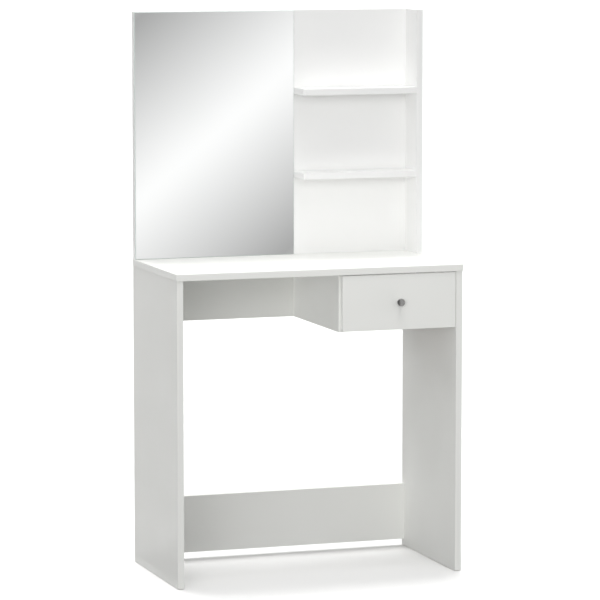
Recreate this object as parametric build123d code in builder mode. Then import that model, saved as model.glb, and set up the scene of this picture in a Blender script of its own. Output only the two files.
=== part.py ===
from build123d import *

import os
from typing import NamedTuple

# A vanity table: a desk with one drawer, and above it a back board that carries a mirror and two open
# shelves. Millimetres. +X is to the right seen from the front, -Y is the front and +Z is up. The origin is
# on the floor, at the centre of the table's outline with the knob included.

os.makedirs("parts", exist_ok=True)

# ---------------------------------------------------------------- driving dimensions

# Overall
panel_width = 728.0  # across the outer faces of the side panels
panel_depth = 373.0  # side panels, front to back
desk_height = 760.0  # top face of the desktop
total_height = 1370.0  # top of the back board
board = 16.0  # thickness of every main panel
band = 1.0  # edge band, counted in each panel's size
band_radius = 0.6
strip_gap = 0.05  # between edge strips that meet at a corner

# Desktop
top_overhang_side = 1.0
top_overhang_front = 3.0

# Lower unit
partition_offset = 413.5  # left outer face of the desk to the partition
apron_height = 141.0  # upper rail and drawer partition, below the desktop
lower_rail_height = 143.0
lower_rail_lift = 18.0

# Upper unit
upper_depth = 95.0
mirror_width = 412.0
mirror_margin = 1.0
glass = 4.0
glass_chamfer = 0.8
pad = 1.0
pad_width = 30.0
pad_height = 150.0
shelf_gap = 0.3  # between the mirror and the ends of the shelves

# Drawer
front_height = 135.0
front_reveal = 5.0  # how much of the partition's edge shows beside the drawer front
front_gap_back = 1.0  # between the drawer front and the partition's edge
front_gap_right = 2.0
front_gap_top = 3.0
box_side = 12.0  # thickness of the drawer's sides and back
box_gap = 12.5  # room for the runner on each side
box_height = 90.0
box_length = 300.0
box_lift = 13.0  # box above the lower edge of the drawer front
bottom_panel = 3.0
groove = 3.2
groove_depth = 5.0
groove_lift = 8.0
groove_play = 0.2

# Knob
knob_length = 17.0
knob_radius = 9.25
knob_base_radius = 6.5
knob_waist = 5.0  # from the drawer front to the narrowest place
knob_waist_radius = 6.0
knob_head_length = 6.0
knob_dome = 2.2  # height of the rounded face
knob_edge = 1.5
knob_thread = 11.0
knob_screw_radius = 2.0
knob_screw_head = 2.4
knob_screw_head_radius = 4.0

# Roller runners
sheet = 1.0
bend_radius = 0.9
runner_length = 300.0
runner_setback = 2.0
flange = 10.5
track = 17.0
track_drop = 3.0  # running face of the track below the box
lip = 7.0
roller_radius = 7.0
roller_width = 5.0
rolling_gap = 0.3
rivet_radius = 2.0
rivet_head_radius = 3.0
rivet_head = 0.8
roller_play = 0.5
cabinet_roller_inset = 8.5  # from the front end of the cabinet runner
drawer_roller_inset = 9.5  # from the back end of the drawer runner
stop_height = 2.0
stop_length = 5.0
stop_width = 6.0
stop_reach = 5.0  # from the drawer roller's axis to the stop, at full travel
drawer_travel = 220.0

# Fittings
fit = 0.05  # radial clearance of every pin, screw and cam in its hole
cam_reach = 34.0
cam_radius = 7.5
cam_depth = 12.5
small_cam_reach = 24.0
small_cam_radius = 6.0
small_cam_depth = 9.5
bolt_bore = 4.0
small_bolt_bore = 3.5
thread_radius = 2.5
thread_depth = 11.0
dowel_radius = 4.0
dowel_length = 30.0
dowel_in_face = 10.0
small_dowel_radius = 3.0
small_dowel_length = 25.0
confirmat_radius = 3.2
confirmat_length = 50.0
confirmat_head_radius = 5.0
confirmat_head = 3.0
box_screw_radius = 2.5
box_screw_length = 40.0
box_screw_head_radius = 3.5
runner_screw_radius = 1.75
runner_screw_head_radius = 3.4
runner_screw_head = 2.0
cabinet_screw_depth = 13.0  # in the side panel and the partition
drawer_screw_depth = 8.0  # in the drawer's sides
head_sink = 0.2
cap_radius = 8.5
cap_thickness = 0.6
glide_height = 1.0
glide_radius = 7.0
glide_chamfer = 0.5
glide_nail = 12.0
glide_nail_radius = 1.2
glide_nail_tip = 2.0
end_play = 0.3  # every blind hole is this much deeper than what goes in it

# Stations of the fittings
top_cam_ys = (-130.0, 90.0)
top_dowel_ys = (-60.0, 20.0)
rail_dowel_spread = 40.0  # above and below the middle of each rail
board_foot_cam_xs = (-300.0, -8.0, 280.0)
board_foot_dowel_xs = (-154.0, 136.0)
side_foot_dowel_ys = (125.0, 165.0)
board_side_cam_levels = (830.0, 1065.0, 1300.0)
board_side_dowel_levels = (900.0, 1230.0)
shelf_dowel_ys = (120.0, 160.0)
shelf_screw_xs = (110.0, 250.0)
partition_screw_levels = (640.0, 700.0)
cabinet_screw_ys = (-125.0, -20.0, 115.0)
drawer_screw_ys = (-145.0, -40.0, 95.0)
drawer_dowel_spread = 25.0  # above and below the middle of each drawer side
box_screw_lifts = (35.0, 70.0)  # above the lower edge of the drawer box
glide_ys = (-150.0, 170.0)

# ---------------------------------------------------------------- main positions

x_out = panel_width / 2
x_in = x_out - board
y_back = (panel_depth + knob_length) / 2
y_front = y_back - panel_depth
y_rail = y_back - board
y_shelf = y_back - upper_depth
z_under = desk_height - board
x_partition = -x_out + partition_offset
x_bay = x_partition + board
bay_middle = (x_bay + x_in) / 2
half_board = board / 2
y_mid_back = y_back - half_board

shelf_bay = (total_height - desk_height - 2 * board) / 3
shelf_levels = [desk_height + shelf_bay, desk_height + 2 * shelf_bay + board]

front_left = x_partition + front_reveal
front_right = x_in - front_gap_right
front_top = z_under - front_gap_top
front_bottom = front_top - front_height
front_back = y_front + board
y_partition = front_back + front_gap_back
box_left = x_bay + box_gap
box_right = x_in - box_gap
box_bottom = front_bottom + box_lift
box_top = box_bottom + box_height
box_back = front_back + box_length

right = (1, 0, 0)
left = (-1, 0, 0)
back = (0, 1, 0)
front = (0, -1, 0)
up = (0, 0, 1)
down = (0, 0, -1)

# ---------------------------------------------------------------- helpers


class CamJoint(NamedTuple):
    """A cam fitting between the face of one panel and the edge of another."""

    point: tuple  # where the bolt crosses from the face into the edge
    into: tuple  # the bolt's direction, into the edge
    cam_side: tuple  # outward normal of the face that the cam is set in


def write(builder, name):
    """Label a finished piece and write its STEP file."""
    builder.part.label = name
    export_step(builder.part, f"parts/{name}.step")


def slab(x_range, y_range, z_range, mode=Mode.ADD):
    """Put a box between two limits on each axis into the active part, or cut it out."""
    corner = (x_range[0], y_range[0], z_range[0])
    size = (x_range[1] - x_range[0], y_range[1] - y_range[0], z_range[1] - z_range[0])
    with Locations(corner):
        Box(*size, align=(Align.MIN, Align.MIN, Align.MIN), mode=mode)


def edge_strip(x_range, y_range, z_range, outward):
    """One strip of edge band, softened round its outer face."""
    with BuildPart() as strip:
        slab(x_range, y_range, z_range)
        outer_face = strip.faces().sort_by(outward)[-1]
        fillet(outer_face.edges(), band_radius)
    return strip.part


def surface_planes(points, normal):
    """Planes on a surface, one at each point, facing along the outward normal."""
    return [Plane(origin=point, z_dir=normal) for point in points]


def drill(points, normal, radius, depth):
    """Drill blind holes into the active part, from points on its surface."""
    with Locations(*surface_planes(points, normal)):
        Hole(radius, depth + end_play)


def along(point, direction, distance):
    """The point a distance away in a direction."""
    return Vector(point) + Vector(direction) * distance


def opposite(direction):
    """The reverse of a direction."""
    return tuple(-part for part in direction)


def drill_bolt_threads(joints):
    """Drill the active part's face for the threads of cam bolts."""
    for joint in joints:
        drill([joint.point], joint.into, thread_radius, thread_depth)


def drill_cam_edges(
    joints, reach=cam_reach, radius=cam_radius, depth=cam_depth, bore=bolt_bore, thickness=board
):
    """Drill the active part's edge for cam bolts, and its face for the cams that grip them."""
    for joint in joints:
        drill([joint.point], opposite(joint.into), bore, reach)
        drill([cam_centre(joint, reach, thickness)], joint.cam_side, radius, depth)


def cam_centre(joint, reach, thickness):
    """The centre of a cam on the face that it is set in."""
    return along(along(joint.point, joint.into, reach), joint.cam_side, thickness / 2)


def cam_planes(joints, reach=cam_reach, thickness=board):
    """Planes for cams, with X towards the bolt and Z out of the panel."""
    return [
        Plane(origin=cam_centre(joint, reach, thickness), x_dir=opposite(joint.into), z_dir=joint.cam_side)
        for joint in joints
    ]


def bolt_planes(joints):
    """Planes for cam bolts, with Z along the bolt."""
    return [Plane(origin=joint.point, z_dir=joint.into) for joint in joints]


def turned(outline):
    """A piece turned from radius and height pairs about its own Z axis."""
    with BuildPart() as piece:
        with BuildSketch(Plane.XZ):
            with BuildLine():
                Polyline(*outline, close=True)
            make_face()
        revolve(axis=Axis.Z)
    return piece.part


def cam_bolt(reach, bore):
    """A cam bolt: thread below zero, collar, shank, and a head on a thin neck at the cam."""
    collar = 2.0
    shank = 0.8 * bore
    neck = 0.5 * bore
    head = 2.0
    outline = [
        (0, -thread_depth),
        (thread_radius - fit, -thread_depth),
        (thread_radius - fit, 0),
        (bore - fit, 0),
        (bore - fit, collar),
        (shank, collar),
        (shank, reach - 3 * head),
        (neck, reach - 3 * head),
        (neck, reach - head),
        (shank, reach - head),
        (shank, reach),
        (0, reach),
    ]
    return turned(outline)


def cam_lock(radius, depth, bore, thickness):
    """A cam: a disc with a side hole for the bolt's head and a cross slot for the screwdriver."""
    slot_length = 1.2 * radius
    slot_width = 1.4
    slot_depth = 1.5
    rim = 0.3
    with BuildPart() as cam:
        with BuildSketch(Plane.XY.offset(-depth)):
            Circle(radius - fit)
        extrude(amount=depth - rim)
        with BuildSketch(Plane.YZ.offset(-bore)):
            with Locations((0, -thickness / 2)):
                Circle(bore)
        extrude(amount=radius + bore, mode=Mode.SUBTRACT)
        with BuildSketch(Plane.XY.offset(-rim)):
            Rectangle(slot_length, slot_width)
            Rectangle(slot_width, slot_length)
        extrude(amount=-slot_depth, mode=Mode.SUBTRACT)
    return cam.part


def screw(head_radius, head_low, head_high, radius, length):
    """A screw pointing down from zero, with its head between two heights and a cross recess in it."""
    tip = 2 * radius
    recess = 1.2
    outline = [
        (0, head_high),
        (head_radius, head_high),
        (head_radius, head_low),
        (radius, head_low),
        (radius, tip - length),
        (0, -length),
    ]
    blank = turned(outline)
    with BuildPart() as finished:
        add(blank)
        with BuildSketch(Plane.XY.offset(head_high)):
            Rectangle(head_radius, recess / 2)
            Rectangle(recess / 2, head_radius)
        extrude(amount=-recess, mode=Mode.SUBTRACT)
    return finished.part


def roller(inner_x, y, z):
    """A plastic roller on an axis along X, from its left face to the right."""
    edge = 0.5
    with BuildPart() as wheel:
        with BuildSketch(Plane(origin=(inner_x, y, z), z_dir=right)):
            Circle(roller_radius)
            Circle(rivet_radius + fit, mode=Mode.SUBTRACT)
        extrude(amount=roller_width)
        rims = wheel.edges().filter_by(GeomType.CIRCLE).group_by(SortBy.RADIUS)[-1]
        chamfer(rims, edge)
    return wheel.part


def dowel(radius, length):
    """A round wooden dowel centred on zero, with chamfered ends."""
    end_chamfer = 1.0
    with BuildPart() as pin:
        Cylinder(radius - fit, length)
        chamfer(pin.edges().filter_by(GeomType.CIRCLE), end_chamfer)
    return pin.part


def dowel_planes(points, into):
    """Planes at the middle of dowels that go the standard depth into a face and the rest into an edge."""
    middle = dowel_length / 2 - dowel_in_face
    return [Plane(origin=along(point, into, middle), z_dir=into) for point in points]


def drill_dowel_faces(points, into):
    """Drill the active part's face for dowels that point into an edge."""
    drill(points, into, dowel_radius, dowel_in_face)


def drill_dowel_edges(points, into):
    """Drill the active part's edge for dowels that come out of a face."""
    drill(points, opposite(into), dowel_radius, dowel_length - dowel_in_face)


# ---------------------------------------------------------------- where the fittings are

mid_left = -x_out + half_board
mid_right = x_out - half_board
mid_partition = x_partition + half_board

left_top_joints = [CamJoint((mid_left, y, z_under), down, right) for y in top_cam_ys]
right_top_joints = [CamJoint((mid_right, y, z_under), down, left) for y in top_cam_ys]
partition_top_joints = [CamJoint((mid_partition, y, z_under), down, right) for y in top_cam_ys]
left_top_dowels = [(mid_left, y, z_under) for y in top_dowel_ys]
right_top_dowels = [(mid_right, y, z_under) for y in top_dowel_ys]
partition_top_dowels = [(mid_partition, y, z_under) for y in top_dowel_ys]

lower_rail_middle = lower_rail_lift + lower_rail_height / 2
upper_rail_middle = z_under - apron_height / 2
rail_middles = (lower_rail_middle, upper_rail_middle)
left_rail_joints = [CamJoint((-x_in, y_mid_back, z), right, back) for z in rail_middles]
right_rail_joints = [CamJoint((x_in, y_mid_back, z), left, back) for z in rail_middles]
rail_dowel_levels = [z + offset for z in rail_middles for offset in (-rail_dowel_spread, rail_dowel_spread)]
left_rail_dowels = [(-x_in, y_mid_back, z) for z in rail_dowel_levels]
right_rail_dowels = [(x_in, y_mid_back, z) for z in rail_dowel_levels]

board_foot_joints = [CamJoint((x, y_mid_back, desk_height), up, back) for x in board_foot_cam_xs]
board_foot_dowels = [(x, y_mid_back, desk_height) for x in board_foot_dowel_xs]
side_foot_dowels = [(mid_right, y, desk_height) for y in side_foot_dowel_ys]
board_side_joints = [CamJoint((x_in, y_mid_back, z), left, back) for z in board_side_cam_levels]
board_side_dowels = [(x_in, y_mid_back, z) for z in board_side_dowel_levels]

shelf_middles = [level + half_board for level in shelf_levels]
shelf_dowels = [[(x_in, y, z) for y in shelf_dowel_ys] for z in shelf_middles]
shelf_screws = [[(x, y_back, z) for x in shelf_screw_xs] for z in shelf_middles]
partition_screws = [(mid_partition, y_back, z) for z in partition_screw_levels]

# Runner heights, and the stations of the rollers and screws along the runners
lip_under = box_bottom + box_side
track_floor = box_bottom - track_drop
runner_front = front_back + runner_setback
runner_back = runner_front + runner_length
screw_level = track_floor + track / 2
cabinet_roller_y = runner_front + cabinet_roller_inset
drawer_roller_y = box_back - drawer_roller_inset
box_middle_level = box_bottom + box_height / 2

drawer_joints_right = [CamJoint((box_right - box_side / 2, front_back, box_middle_level), back, left)]
drawer_joints_left = [CamJoint((box_left + box_side / 2, front_back, box_middle_level), back, right)]
drawer_dowel_levels = [box_middle_level - drawer_dowel_spread, box_middle_level + drawer_dowel_spread]
drawer_dowels_right = [(box_right - box_side / 2, front_back, z) for z in drawer_dowel_levels]
drawer_dowels_left = [(box_left + box_side / 2, front_back, z) for z in drawer_dowel_levels]
box_screw_levels = [box_bottom + lift for lift in box_screw_lifts]
box_screws_right = [(box_right, box_back - box_side / 2, z) for z in box_screw_levels]
box_screws_left = [(box_left, box_back - box_side / 2, z) for z in box_screw_levels]

# ---------------------------------------------------------------- desk panels

glide_points = [(x, y, glide_height) for x in (mid_left, mid_right) for y in glide_ys]

with BuildPart() as left_side_panel:
    slab((-x_out, -x_in), (y_front + band, y_back), (glide_height, z_under))
    drill_cam_edges(left_top_joints)
    drill_dowel_edges(left_top_dowels, down)
    drill_bolt_threads(left_rail_joints)
    drill_dowel_faces(left_rail_dowels, right)
    drill(glide_points[:2], down, glide_nail_radius + fit, glide_nail)
write(left_side_panel, "left_side_panel")

with BuildPart() as right_side_panel:
    slab((x_in, x_out), (y_front + band, y_back), (glide_height, z_under))
    drill_cam_edges(right_top_joints)
    drill_dowel_edges(right_top_dowels, down)
    drill_bolt_threads(right_rail_joints)
    drill_dowel_faces(right_rail_dowels, left)
    drill(glide_points[2:], down, glide_nail_radius + fit, glide_nail)
    cabinet_screws_right = [(x_in, y, screw_level) for y in cabinet_screw_ys]
    drill(cabinet_screws_right, left, runner_screw_radius + fit, cabinet_screw_depth)
write(right_side_panel, "right_side_panel")

top_half_width = x_out + top_overhang_side
top_front = y_front - top_overhang_front

with BuildPart() as desktop:
    slab((band - top_half_width, top_half_width - band), (top_front + band, y_back), (z_under, desk_height))
    drill_bolt_threads(left_top_joints + right_top_joints + partition_top_joints)
    drill_dowel_faces(left_top_dowels + right_top_dowels + partition_top_dowels, down)
    drill_bolt_threads(board_foot_joints)
    drill_dowel_faces(board_foot_dowels + side_foot_dowels, up)
write(desktop, "desktop")

with BuildPart() as drawer_partition:
    slab((x_partition, x_bay), (y_partition + band, y_rail), (z_under - apron_height + band, z_under))
    drill_cam_edges(partition_top_joints)
    drill_dowel_edges(partition_top_dowels, down)
    partition_edge_points = [along(point, front, board) for point in partition_screws]
    drill(partition_edge_points, back, confirmat_radius, confirmat_length - board)
    cabinet_screws_left = [(x_bay, y, screw_level) for y in cabinet_screw_ys]
    drill(cabinet_screws_left, right, runner_screw_radius + fit, cabinet_screw_depth)
write(drawer_partition, "drawer_partition")

with BuildPart() as upper_back_rail:
    slab((-x_in, x_in), (y_rail, y_back), (z_under - apron_height + band, z_under))
    drill_cam_edges([left_rail_joints[1], right_rail_joints[1]])
    drill_dowel_edges(left_rail_dowels[2:], right)
    drill_dowel_edges(right_rail_dowels[2:], left)
    with Locations(*surface_planes(partition_screws, back)):
        CounterBoreHole(confirmat_radius, confirmat_head_radius, confirmat_head)
write(upper_back_rail, "upper_back_rail")

lower_rail_top = lower_rail_lift + lower_rail_height

with BuildPart() as lower_back_rail:
    slab((-x_in, x_in), (y_rail, y_back), (lower_rail_lift + band, lower_rail_top - band))
    drill_cam_edges([left_rail_joints[0], right_rail_joints[0]])
    drill_dowel_edges(left_rail_dowels[:2], right)
    drill_dowel_edges(right_rail_dowels[:2], left)
write(lower_back_rail, "lower_back_rail")

# ---------------------------------------------------------------- upper unit

with BuildPart() as mirror_board:
    slab((-x_out + band, x_in), (y_rail, y_back), (desk_height, total_height - band))
    drill_cam_edges(board_foot_joints)
    drill_dowel_edges(board_foot_dowels, up)
    drill_cam_edges(board_side_joints)
    drill_dowel_edges(board_side_dowels, left)
    with Locations(*surface_planes(shelf_screws[0] + shelf_screws[1], back)):
        CounterBoreHole(confirmat_radius, confirmat_head_radius, confirmat_head)
write(mirror_board, "mirror_board")

with BuildPart() as upper_side_panel:
    slab((x_in, x_out), (y_shelf + band, y_back), (desk_height, total_height - band))
    drill_dowel_edges(side_foot_dowels, up)
    drill_bolt_threads(board_side_joints)
    drill_dowel_faces(board_side_dowels, left)
    drill_dowel_faces(shelf_dowels[0] + shelf_dowels[1], left)
write(upper_side_panel, "upper_side_panel")

x_shelf = -x_out + mirror_margin + mirror_width + shelf_gap
shelf_names = ("lower_shelf", "upper_shelf")
for name, level, dowels, screws in zip(shelf_names, shelf_levels, shelf_dowels, shelf_screws):
    with BuildPart() as shelf:
        slab((x_shelf + band, x_in), (y_shelf + band, y_rail), (level, level + board))
        drill_dowel_edges(dowels, left)
        shelf_edge_points = [along(point, front, board) for point in screws]
        drill(shelf_edge_points, back, confirmat_radius, confirmat_length - board)
    write(shelf, name)

glass_left = -x_out + mirror_margin
glass_right = glass_left + mirror_width
glass_back = y_rail - pad
glass_low = desk_height + mirror_margin
glass_high = total_height - mirror_margin

with BuildPart() as mirror_glass:
    slab((glass_left, glass_right), (glass_back - glass, glass_back), (glass_low, glass_high))
    chamfer(mirror_glass.faces().sort_by(Axis.Y)[0].edges(), glass_chamfer)
write(mirror_glass, "mirror_glass")

pad_centre = ((glass_left + glass_right) / 2, (glass_low + glass_high) / 2)
pad_spacing = (mirror_width - 3 * pad_width, (glass_high - glass_low) / 3)

with BuildPart() as mirror_adhesive_pads:
    with BuildSketch(Plane.XZ.offset(-y_rail)):
        with Locations(pad_centre):
            with GridLocations(*pad_spacing, 2, 3):
                Rectangle(pad_width, pad_height)
    extrude(amount=pad)
write(mirror_adhesive_pads, "mirror_adhesive_pads")

# ---------------------------------------------------------------- edge bands

top_strips = [
    edge_strip(
        (-top_half_width, top_half_width),
        (top_front, top_front + band),
        (z_under, desk_height),
        Axis((0, 0, 0), front),
    )
]
for side in (-1, 1):
    outer = side * top_half_width
    inner = outer - side * band
    x_range = (min(outer, inner), max(outer, inner))
    y_range = (top_front + band + strip_gap, y_back)
    top_strips.append(edge_strip(x_range, y_range, (z_under, desk_height), Axis((0, 0, 0), (side, 0, 0))))

with BuildPart() as desktop_edge_bands:
    add(top_strips)
write(desktop_edge_bands, "desktop_edge_bands")

front_axis = Axis((0, 0, 0), front)
down_axis = Axis((0, 0, 0), down)
left_axis = Axis((0, 0, 0), left)
panel_front = (y_front, y_front + band)
panel_strips = [
    edge_strip((-x_out, -x_in), panel_front, (glide_height, z_under), front_axis),
    edge_strip((x_in, x_out), panel_front, (glide_height, z_under), front_axis),
]

with BuildPart() as side_panel_edge_bands:
    add(panel_strips)
write(side_panel_edge_bands, "side_panel_edge_bands")

apron_low = z_under - apron_height
partition_strips = [
    edge_strip(
        (x_partition, x_bay),
        (y_partition, y_partition + band),
        (apron_low, z_under),
        front_axis,
    ),
    edge_strip(
        (x_partition, x_bay),
        (y_partition + band + strip_gap, y_rail),
        (apron_low, apron_low + band),
        down_axis,
    ),
]

with BuildPart() as partition_edge_bands:
    add(partition_strips)
write(partition_edge_bands, "partition_edge_bands")

rail_bands = [
    (apron_low, down_axis),
    (lower_rail_lift, down_axis),
    (lower_rail_top - band, Axis.Z),
]
rail_strips = [edge_strip((-x_in, x_in), (y_rail, y_back), (z, z + band), axis) for z, axis in rail_bands]

with BuildPart() as rail_edge_bands:
    add(rail_strips)
write(rail_edge_bands, "rail_edge_bands")

upper_top = (total_height - band, total_height)
board_strips = [
    edge_strip((-x_out, -x_out + band), (y_rail, y_back), (desk_height, total_height), left_axis),
    edge_strip((-x_out + band + strip_gap, x_in), (y_rail, y_back), upper_top, Axis.Z),
]

with BuildPart() as mirror_board_edge_bands:
    add(board_strips)
write(mirror_board_edge_bands, "mirror_board_edge_bands")

upper_side_strips = [
    edge_strip((x_in, x_out), (y_shelf, y_shelf + band), (desk_height, total_height), front_axis),
    edge_strip((x_in, x_out), (y_shelf + band + strip_gap, y_back), upper_top, Axis.Z),
]

with BuildPart() as upper_side_edge_bands:
    add(upper_side_strips)
write(upper_side_edge_bands, "upper_side_edge_bands")

shelf_strips = []
for level in shelf_levels:
    thickness = (level, level + board)
    shelf_strips.append(edge_strip((x_shelf, x_in), (y_shelf, y_shelf + band), thickness, front_axis))
    y_range = (y_shelf + band + strip_gap, y_rail)
    shelf_strips.append(edge_strip((x_shelf, x_shelf + band), y_range, thickness, left_axis))

with BuildPart() as shelf_edge_bands:
    add(shelf_strips)
write(shelf_edge_bands, "shelf_edge_bands")

front_thickness = (y_front, front_back)
between = (front_left + band + strip_gap, front_right - band - strip_gap)
drawer_strips = [
    edge_strip((front_left, front_left + band), front_thickness, (front_bottom, front_top), left_axis),
    edge_strip((front_right - band, front_right), front_thickness, (front_bottom, front_top), Axis.X),
    edge_strip(between, front_thickness, (front_bottom, front_bottom + band), down_axis),
    edge_strip(between, front_thickness, (front_top - band, front_top), Axis.Z),
]

with BuildPart() as drawer_front_edge_bands:
    add(drawer_strips)
write(drawer_front_edge_bands, "drawer_front_edge_bands")

# ---------------------------------------------------------------- drawer box

groove_low = box_bottom + groove_lift
groove_high = groove_low + groove
box_inner = (box_left + box_side, box_right - box_side)
knob_level = (front_bottom + front_top) / 2
knob_x = (front_left + front_right) / 2

with BuildPart() as drawer_front:
    slab(
        (front_left + band, front_right - band),
        (y_front, front_back),
        (front_bottom + band, front_top - band),
    )
    drill_bolt_threads(drawer_joints_left + drawer_joints_right)
    drill(drawer_dowels_left + drawer_dowels_right, back, small_dowel_radius, dowel_in_face)
    slab(
        (box_inner[0] - groove_depth, box_inner[1] + groove_depth),
        (front_back - groove_depth, front_back),
        (groove_low, groove_high),
        mode=Mode.SUBTRACT,
    )
    with Locations(Plane(origin=(knob_x, y_front, knob_level), z_dir=front)):
        Hole(knob_screw_radius + fit)
write(drawer_front, "drawer_front")

with BuildPart() as drawer_side_right:
    slab((box_inner[1], box_right), (front_back, box_back), (box_bottom, box_top))
    drill_cam_edges(
        drawer_joints_right, small_cam_reach, small_cam_radius, small_cam_depth, small_bolt_bore, box_side
    )
    drill(drawer_dowels_right, front, small_dowel_radius, small_dowel_length - dowel_in_face)
    slab(
        (box_inner[1], box_inner[1] + groove_depth),
        (front_back, box_back),
        (groove_low, groove_high),
        mode=Mode.SUBTRACT,
    )
    with Locations(*surface_planes(box_screws_right, right)):
        CounterBoreHole(box_screw_radius, box_screw_head_radius, confirmat_head)
    drawer_runner_screws_right = [(box_right, y, screw_level) for y in drawer_screw_ys]
    drill(drawer_runner_screws_right, right, runner_screw_radius + fit, drawer_screw_depth)
write(drawer_side_right, "drawer_side_right")

bay_mirror = Plane.YZ.offset(bay_middle)

with BuildPart() as drawer_side_left:
    mirror(drawer_side_right.part, about=bay_mirror)
write(drawer_side_left, "drawer_side_left")

with BuildPart() as drawer_back:
    slab(box_inner, (box_back - box_side, box_back), (groove_high, box_top))
    drill(
        [along(point, left, box_side) for point in box_screws_right],
        right,
        box_screw_radius,
        box_screw_length - box_side,
    )
    drill(
        [along(point, right, box_side) for point in box_screws_left],
        left,
        box_screw_radius,
        box_screw_length - box_side,
    )
write(drawer_back, "drawer_back")

bottom_reach = groove_depth - groove_play
bottom_low = groove_low + (groove - bottom_panel) / 2

with BuildPart() as drawer_bottom:
    slab(
        (box_inner[0] - bottom_reach, box_inner[1] + bottom_reach),
        (front_back - bottom_reach, box_back),
        (bottom_low, bottom_low + bottom_panel),
    )
write(drawer_bottom, "drawer_bottom")

# ---------------------------------------------------------------- knob

knob_dome_radius = (knob_radius**2 + knob_dome**2) / (2 * knob_dome)
knob_plane = Plane(origin=(knob_x, y_front, knob_level), x_dir=right, z_dir=front)

with BuildPart() as turned_knob:
    with BuildSketch(Plane.XZ):
        with BuildLine():
            base = Line((0, 0), (knob_base_radius, 0))
            flare = ThreePointArc(
                base @ 1,
                (knob_waist_radius, knob_waist),
                (knob_radius, knob_length - knob_head_length),
            )
            rim = Line(flare @ 1, (knob_radius, knob_length - knob_dome))
            dome = RadiusArc(rim @ 1, (0, knob_length), -knob_dome_radius)
            Line(dome @ 1, (0, 0))
        make_face()
    revolve(axis=Axis.Z)
    fillet(turned_knob.edges().filter_by(Plane.XY).sort_by(Axis.Z)[-1], knob_edge)
    with Locations(Plane(origin=(0, 0, 0), z_dir=down)):
        Hole(knob_screw_radius, knob_thread + end_play)

with BuildPart() as drawer_knob:
    with Locations(knob_plane):
        add(turned_knob.part)
write(drawer_knob, "drawer_knob")

knob_screw_blank = screw(
    knob_screw_head_radius, 0.0, knob_screw_head, knob_screw_radius - fit, board + knob_thread
)

with BuildPart() as knob_screw:
    with Locations(Plane(origin=(knob_x, front_back, knob_level), z_dir=back)):
        add(knob_screw_blank)
write(knob_screw, "knob_screw")

# ---------------------------------------------------------------- roller runners

track_top = track_floor + track
stop_back = drawer_roller_y - drawer_travel - stop_reach
cabinet_roller_level = lip_under - rolling_gap - roller_radius
drawer_roller_level = track_floor + rolling_gap + roller_radius

with BuildPart() as cabinet_runner_right:
    with BuildSketch(Plane.XZ.offset(-runner_back)):
        with BuildLine():
            Polyline(
                (x_in, track_floor - sheet),
                (x_in, track_top + sheet),
                (x_in - flange, track_top + sheet),
                (x_in - flange, track_top),
                (x_in - sheet, track_top),
                (x_in - sheet, track_floor),
                (x_in - flange, track_floor),
                (x_in - flange, track_floor - sheet),
                close=True,
            )
        make_face()
    extrude(amount=runner_length)
    bends = cabinet_runner_right.edges().filter_by(Axis.Y).group_by(Axis.X)[-1]
    fillet(bends, bend_radius)
    slab(
        (x_in - sheet - roller_play - stop_width, x_in - sheet - roller_play),
        (stop_back - stop_length, stop_back),
        (track_floor, track_floor + stop_height),
    )
    with Locations(*surface_planes(cabinet_screws_right, right)):
        Hole(runner_screw_radius + fit, 2 * sheet)
    with Locations(Plane(origin=(x_in, cabinet_roller_y, cabinet_roller_level), z_dir=right)):
        Hole(rivet_radius + fit, 2 * sheet)
write(cabinet_runner_right, "cabinet_runner_right")

with BuildPart() as cabinet_runner_left:
    mirror(cabinet_runner_right.part, about=bay_mirror)
write(cabinet_runner_left, "cabinet_runner_left")

web = box_right + sheet

with BuildPart() as drawer_runner_right:
    with BuildSketch(Plane.XZ.offset(-box_back)):
        with BuildLine():
            Polyline(
                (box_inner[1], box_bottom),
                (box_inner[1], box_bottom - sheet),
                (web, box_bottom - sheet),
                (web, lip_under),
                (web + lip, lip_under),
                (web + lip, lip_under + sheet),
                (box_right, lip_under + sheet),
                (box_right, box_bottom),
                close=True,
            )
        make_face()
    extrude(amount=box_length - sheet)
    with Locations(*surface_planes(drawer_runner_screws_right, left)):
        Hole(runner_screw_radius + fit, 2 * sheet)
    with Locations(Plane(origin=(box_right, drawer_roller_y, drawer_roller_level), z_dir=left)):
        Hole(rivet_radius + fit, 2 * sheet)
write(drawer_runner_right, "drawer_runner_right")

with BuildPart() as drawer_runner_left:
    mirror(drawer_runner_right.part, about=bay_mirror)
write(drawer_runner_left, "drawer_runner_left")

cabinet_roller_x = x_in - sheet - roller_play - roller_width
drawer_roller_x = web + roller_play
cabinet_roller = roller(cabinet_roller_x, cabinet_roller_y, cabinet_roller_level)
drawer_roller = roller(drawer_roller_x, drawer_roller_y, drawer_roller_level)

with BuildPart() as cabinet_roller_right:
    add(cabinet_roller)
write(cabinet_roller_right, "cabinet_roller_right")

with BuildPart() as cabinet_roller_left:
    mirror(cabinet_roller, about=bay_mirror)
write(cabinet_roller_left, "cabinet_roller_left")

with BuildPart() as drawer_roller_right:
    add(drawer_roller)
write(drawer_roller_right, "drawer_roller_right")

with BuildPart() as drawer_roller_left:
    mirror(drawer_roller, about=bay_mirror)
write(drawer_roller_left, "drawer_roller_left")

rivet_reach = sheet + roller_play + roller_width + roller_play / 2
rivet_outline = [
    (0, 0),
    (rivet_radius, 0),
    (rivet_radius, rivet_reach),
    (rivet_head_radius, rivet_reach),
    (rivet_head_radius, rivet_reach + rivet_head),
    (0, rivet_reach + rivet_head),
]
rivet = turned(rivet_outline)

cabinet_rivet_points = [
    (x_in, cabinet_roller_y, cabinet_roller_level),
    (x_bay, cabinet_roller_y, cabinet_roller_level),
]
drawer_rivet_points = [
    (box_right, drawer_roller_y, drawer_roller_level),
    (box_left, drawer_roller_y, drawer_roller_level),
]

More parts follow.
